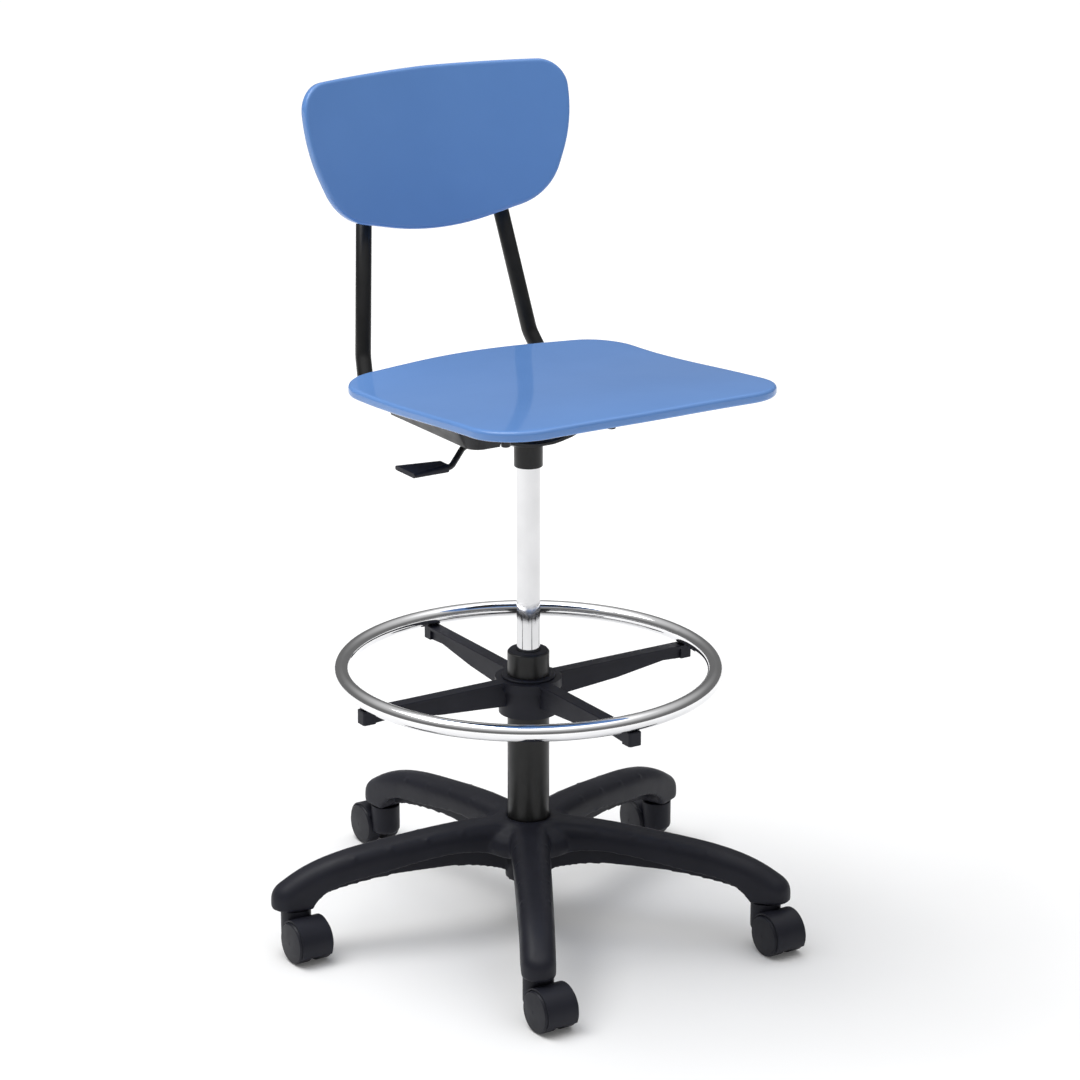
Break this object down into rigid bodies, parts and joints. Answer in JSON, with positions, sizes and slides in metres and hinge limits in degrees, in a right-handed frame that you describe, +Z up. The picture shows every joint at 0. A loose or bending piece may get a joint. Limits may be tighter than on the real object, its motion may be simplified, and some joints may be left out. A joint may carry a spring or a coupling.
{
  "type": "drafting chair",
  "caption": "Drafting chair: blue plastic seat and back on bent tubes, gas lift column, chrome foot ring and five-star base on twin-wheel casters.",
  "frame": {"origin": "on the floor, where the column's axis meets it", "axes": "+Z up along the column; the sitter faces -Y; +X is the sitter's left, and the height lever is on the -X side"},
  "size_m": [0.6132, 0.6551, 1.0095],
  "materials": {
    "shell_blue": "smooth moulded polypropylene with a soft gloss, mid blue",
    "frame_black": "satin black powder coat",
    "nylon_black": "moulded black nylon with a fine texture",
    "wheel_black": "moulded black nylon wheel, smoother than the housings",
    "chrome": "bright chrome plate",
    "pan_steel": "grey painted pressed steel",
    "bright_steel": "ground steel",
    "screw_black": "black oxide steel"
  },
  "bodies": {
    "base": {"star_base": "nylon_black", "outer_column": "frame_black", "column_guide_bush": "nylon_black", "thrust_bearing": "bright_steel", "caster_stem_1": "bright_steel", "caster_stem_2": "bright_steel", "caster_stem_3": "bright_steel", "caster_stem_4": "bright_steel", "caster_stem_5": "bright_steel"},
    "lift_rod": {"piston_rod": "bright_steel", "rod_clip": "bright_steel", "gas_piston": "bright_steel"},
    "seat_assembly": {"gas_cylinder": "chrome", "taper_socket": "frame_black", "seat_pan": "pan_steel", "left_frame_tube": "frame_black", "right_frame_tube": "frame_black", "tube_end_caps": "nylon_black", "front_strap": "frame_black", "seat_bolts": "screw_black", "lever_bracket": "frame_black", "lever_pivot_pin": "bright_steel", "seat_spacers": "nylon_black", "seat_shell": "shell_blue", "backrest_shell": "shell_blue", "back_screws": "screw_black"},
    "valve_pin": {"release_pin": "bright_steel"},
    "lever": {"lever_rod": "screw_black", "lever_paddle": "nylon_black"},
    "ring_collet": {"foot_ring_collet": "nylon_black"},
    "foot_rest": {"foot_ring_spider": "nylon_black", "foot_ring": "chrome", "foot_ring_screws": "screw_black"},
    "caster_1": {"caster_housing_1": "nylon_black", "caster_axle_1": "bright_steel"},
    "wheel_left_1": {"caster_wheel_left_1": "wheel_black"},
    "wheel_right_1": {"caster_wheel_right_1": "wheel_black"},
    "caster_2": {"caster_housing_2": "nylon_black", "caster_axle_2": "bright_steel"},
    "wheel_left_2": {"caster_wheel_left_2": "wheel_black"},
    "wheel_right_2": {"caster_wheel_right_2": "wheel_black"},
    "caster_3": {"caster_housing_3": "nylon_black", "caster_axle_3": "bright_steel"},
    "wheel_left_3": {"caster_wheel_left_3": "wheel_black"},
    "wheel_right_3": {"caster_wheel_right_3": "wheel_black"},
    "caster_4": {"caster_housing_4": "nylon_black", "caster_axle_4": "bright_steel"},
    "wheel_left_4": {"caster_wheel_left_4": "wheel_black"},
    "wheel_right_4": {"caster_wheel_right_4": "wheel_black"},
    "caster_5": {"caster_housing_5": "nylon_black", "caster_axle_5": "bright_steel"},
    "wheel_left_5": {"caster_wheel_left_5": "wheel_black"},
    "wheel_right_5": {"caster_wheel_right_5": "wheel_black"}
  },
  "joints": [
    {"name": "seat_swivel", "type": "hinge", "parent": "base", "child": "lift_rod", "pos_m": [0, 0, 0.3], "axis": [0, 0, 1], "continuous": true},
    {"name": "height_adjust", "type": "slide", "parent": "lift_rod", "child": "seat_assembly", "axis": [0, 0, 1], "range_m": [-0.2, 0]},
    {"name": "lever_lift", "type": "hinge", "parent": "seat_assembly", "child": "lever", "pos_m": [-0.03, 0, 0.623], "axis": [0, 1, 0], "range_deg": [0, 6], "stiffness_Nm_per_rad": 3, "springref_deg": -8.59},
    {"name": "valve_press", "type": "slide", "parent": "seat_assembly", "child": "valve_pin", "axis": [0, 0, -1], "range_m": [0, 0.0035]},
    {"name": "foot_ring_height", "type": "slide", "parent": "base", "child": "ring_collet", "axis": [0, 0, 1], "range_m": [-0.105, 0.02]},
    {"name": "foot_ring_lock", "type": "hinge", "parent": "ring_collet", "child": "foot_rest", "pos_m": [0, 0, 0.29], "axis": [0, 0, 1], "range_deg": [-40, 0]},
    {"name": "caster_swivel_1", "type": "hinge", "parent": "base", "child": "caster_1", "pos_m": [-0.1467, -0.25409, 0.05], "axis": [0, 0, 1], "continuous": true},
    {"name": "wheel_left_spin_1", "type": "hinge", "parent": "caster_1", "child": "wheel_left_1", "pos_m": [-0.1467, -0.28109, 0.025], "axis": [1, 0, 0], "continuous": true},
    {"name": "wheel_right_spin_1", "type": "hinge", "parent": "caster_1", "child": "wheel_right_1", "pos_m": [-0.1467, -0.28109, 0.025], "axis": [1, 0, 0], "continuous": true},
    {"name": "caster_swivel_2", "type": "hinge", "parent": "base", "child": "caster_2", "pos_m": [0.19632, -0.21804, 0.05], "axis": [0, 0, 1], "continuous": true},
    {"name": "wheel_left_spin_2", "type": "hinge", "parent": "caster_2", "child": "wheel_left_2", "pos_m": [0.19632, -0.24504, 0.025], "axis": [1, 0, 0], "continuous": true},
    {"name": "wheel_right_spin_2", "type": "hinge", "parent": "caster_2", "child": "wheel_right_2", "pos_m": [0.19632, -0.24504, 0.025], "axis": [1, 0, 0], "continuous": true},
    {"name": "caster_swivel_3", "type": "hinge", "parent": "base", "child": "caster_3", "pos_m": [0.26803, 0.11934, 0.05], "axis": [0, 0, 1], "continuous": true},
    {"name": "wheel_left_spin_3", "type": "hinge", "parent": "caster_3", "child": "wheel_left_3", "pos_m": [0.26803, 0.14634, 0.025], "axis": [1, 0, 0], "continuous": true},
    {"name": "wheel_right_spin_3", "type": "hinge", "parent": "caster_3", "child": "wheel_right_3", "pos_m": [0.26803, 0.14634, 0.025], "axis": [1, 0, 0], "continuous": true},
    {"name": "caster_swivel_4", "type": "hinge", "parent": "base", "child": "caster_4", "pos_m": [-0.03067, 0.29179, 0.05], "axis": [0, 0, 1], "continuous": true},
    {"name": "wheel_left_spin_4", "type": "hinge", "parent": "caster_4", "child": "wheel_left_4", "pos_m": [-0.03067, 0.31879, 0.025], "axis": [1, 0, 0], "continuous": true},
    {"name": "wheel_right_spin_4", "type": "hinge", "parent": "caster_4", "child": "wheel_right_4", "pos_m": [-0.03067, 0.31879, 0.025], "axis": [1, 0, 0], "continuous": true},
    {"name": "caster_swivel_5", "type": "hinge", "parent": "base", "child": "caster_5", "pos_m": [-0.28699, 0.061, 0.05], "axis": [0, 0, 1], "continuous": true},
    {"name": "wheel_left_spin_5", "type": "hinge", "parent": "caster_5", "child": "wheel_left_5", "pos_m": [-0.28699, 0.034, 0.025], "axis": [1, 0, 0], "continuous": true},
    {"name": "wheel_right_spin_5", "type": "hinge", "parent": "caster_5", "child": "wheel_right_5", "pos_m": [-0.28699, 0.034, 0.025], "axis": [1, 0, 0], "continuous": true}
  ],
  "couplings": [
    {"joint": "valve_press", "follows": "lever_lift", "m_per_rad": 0.03}
  ]
}
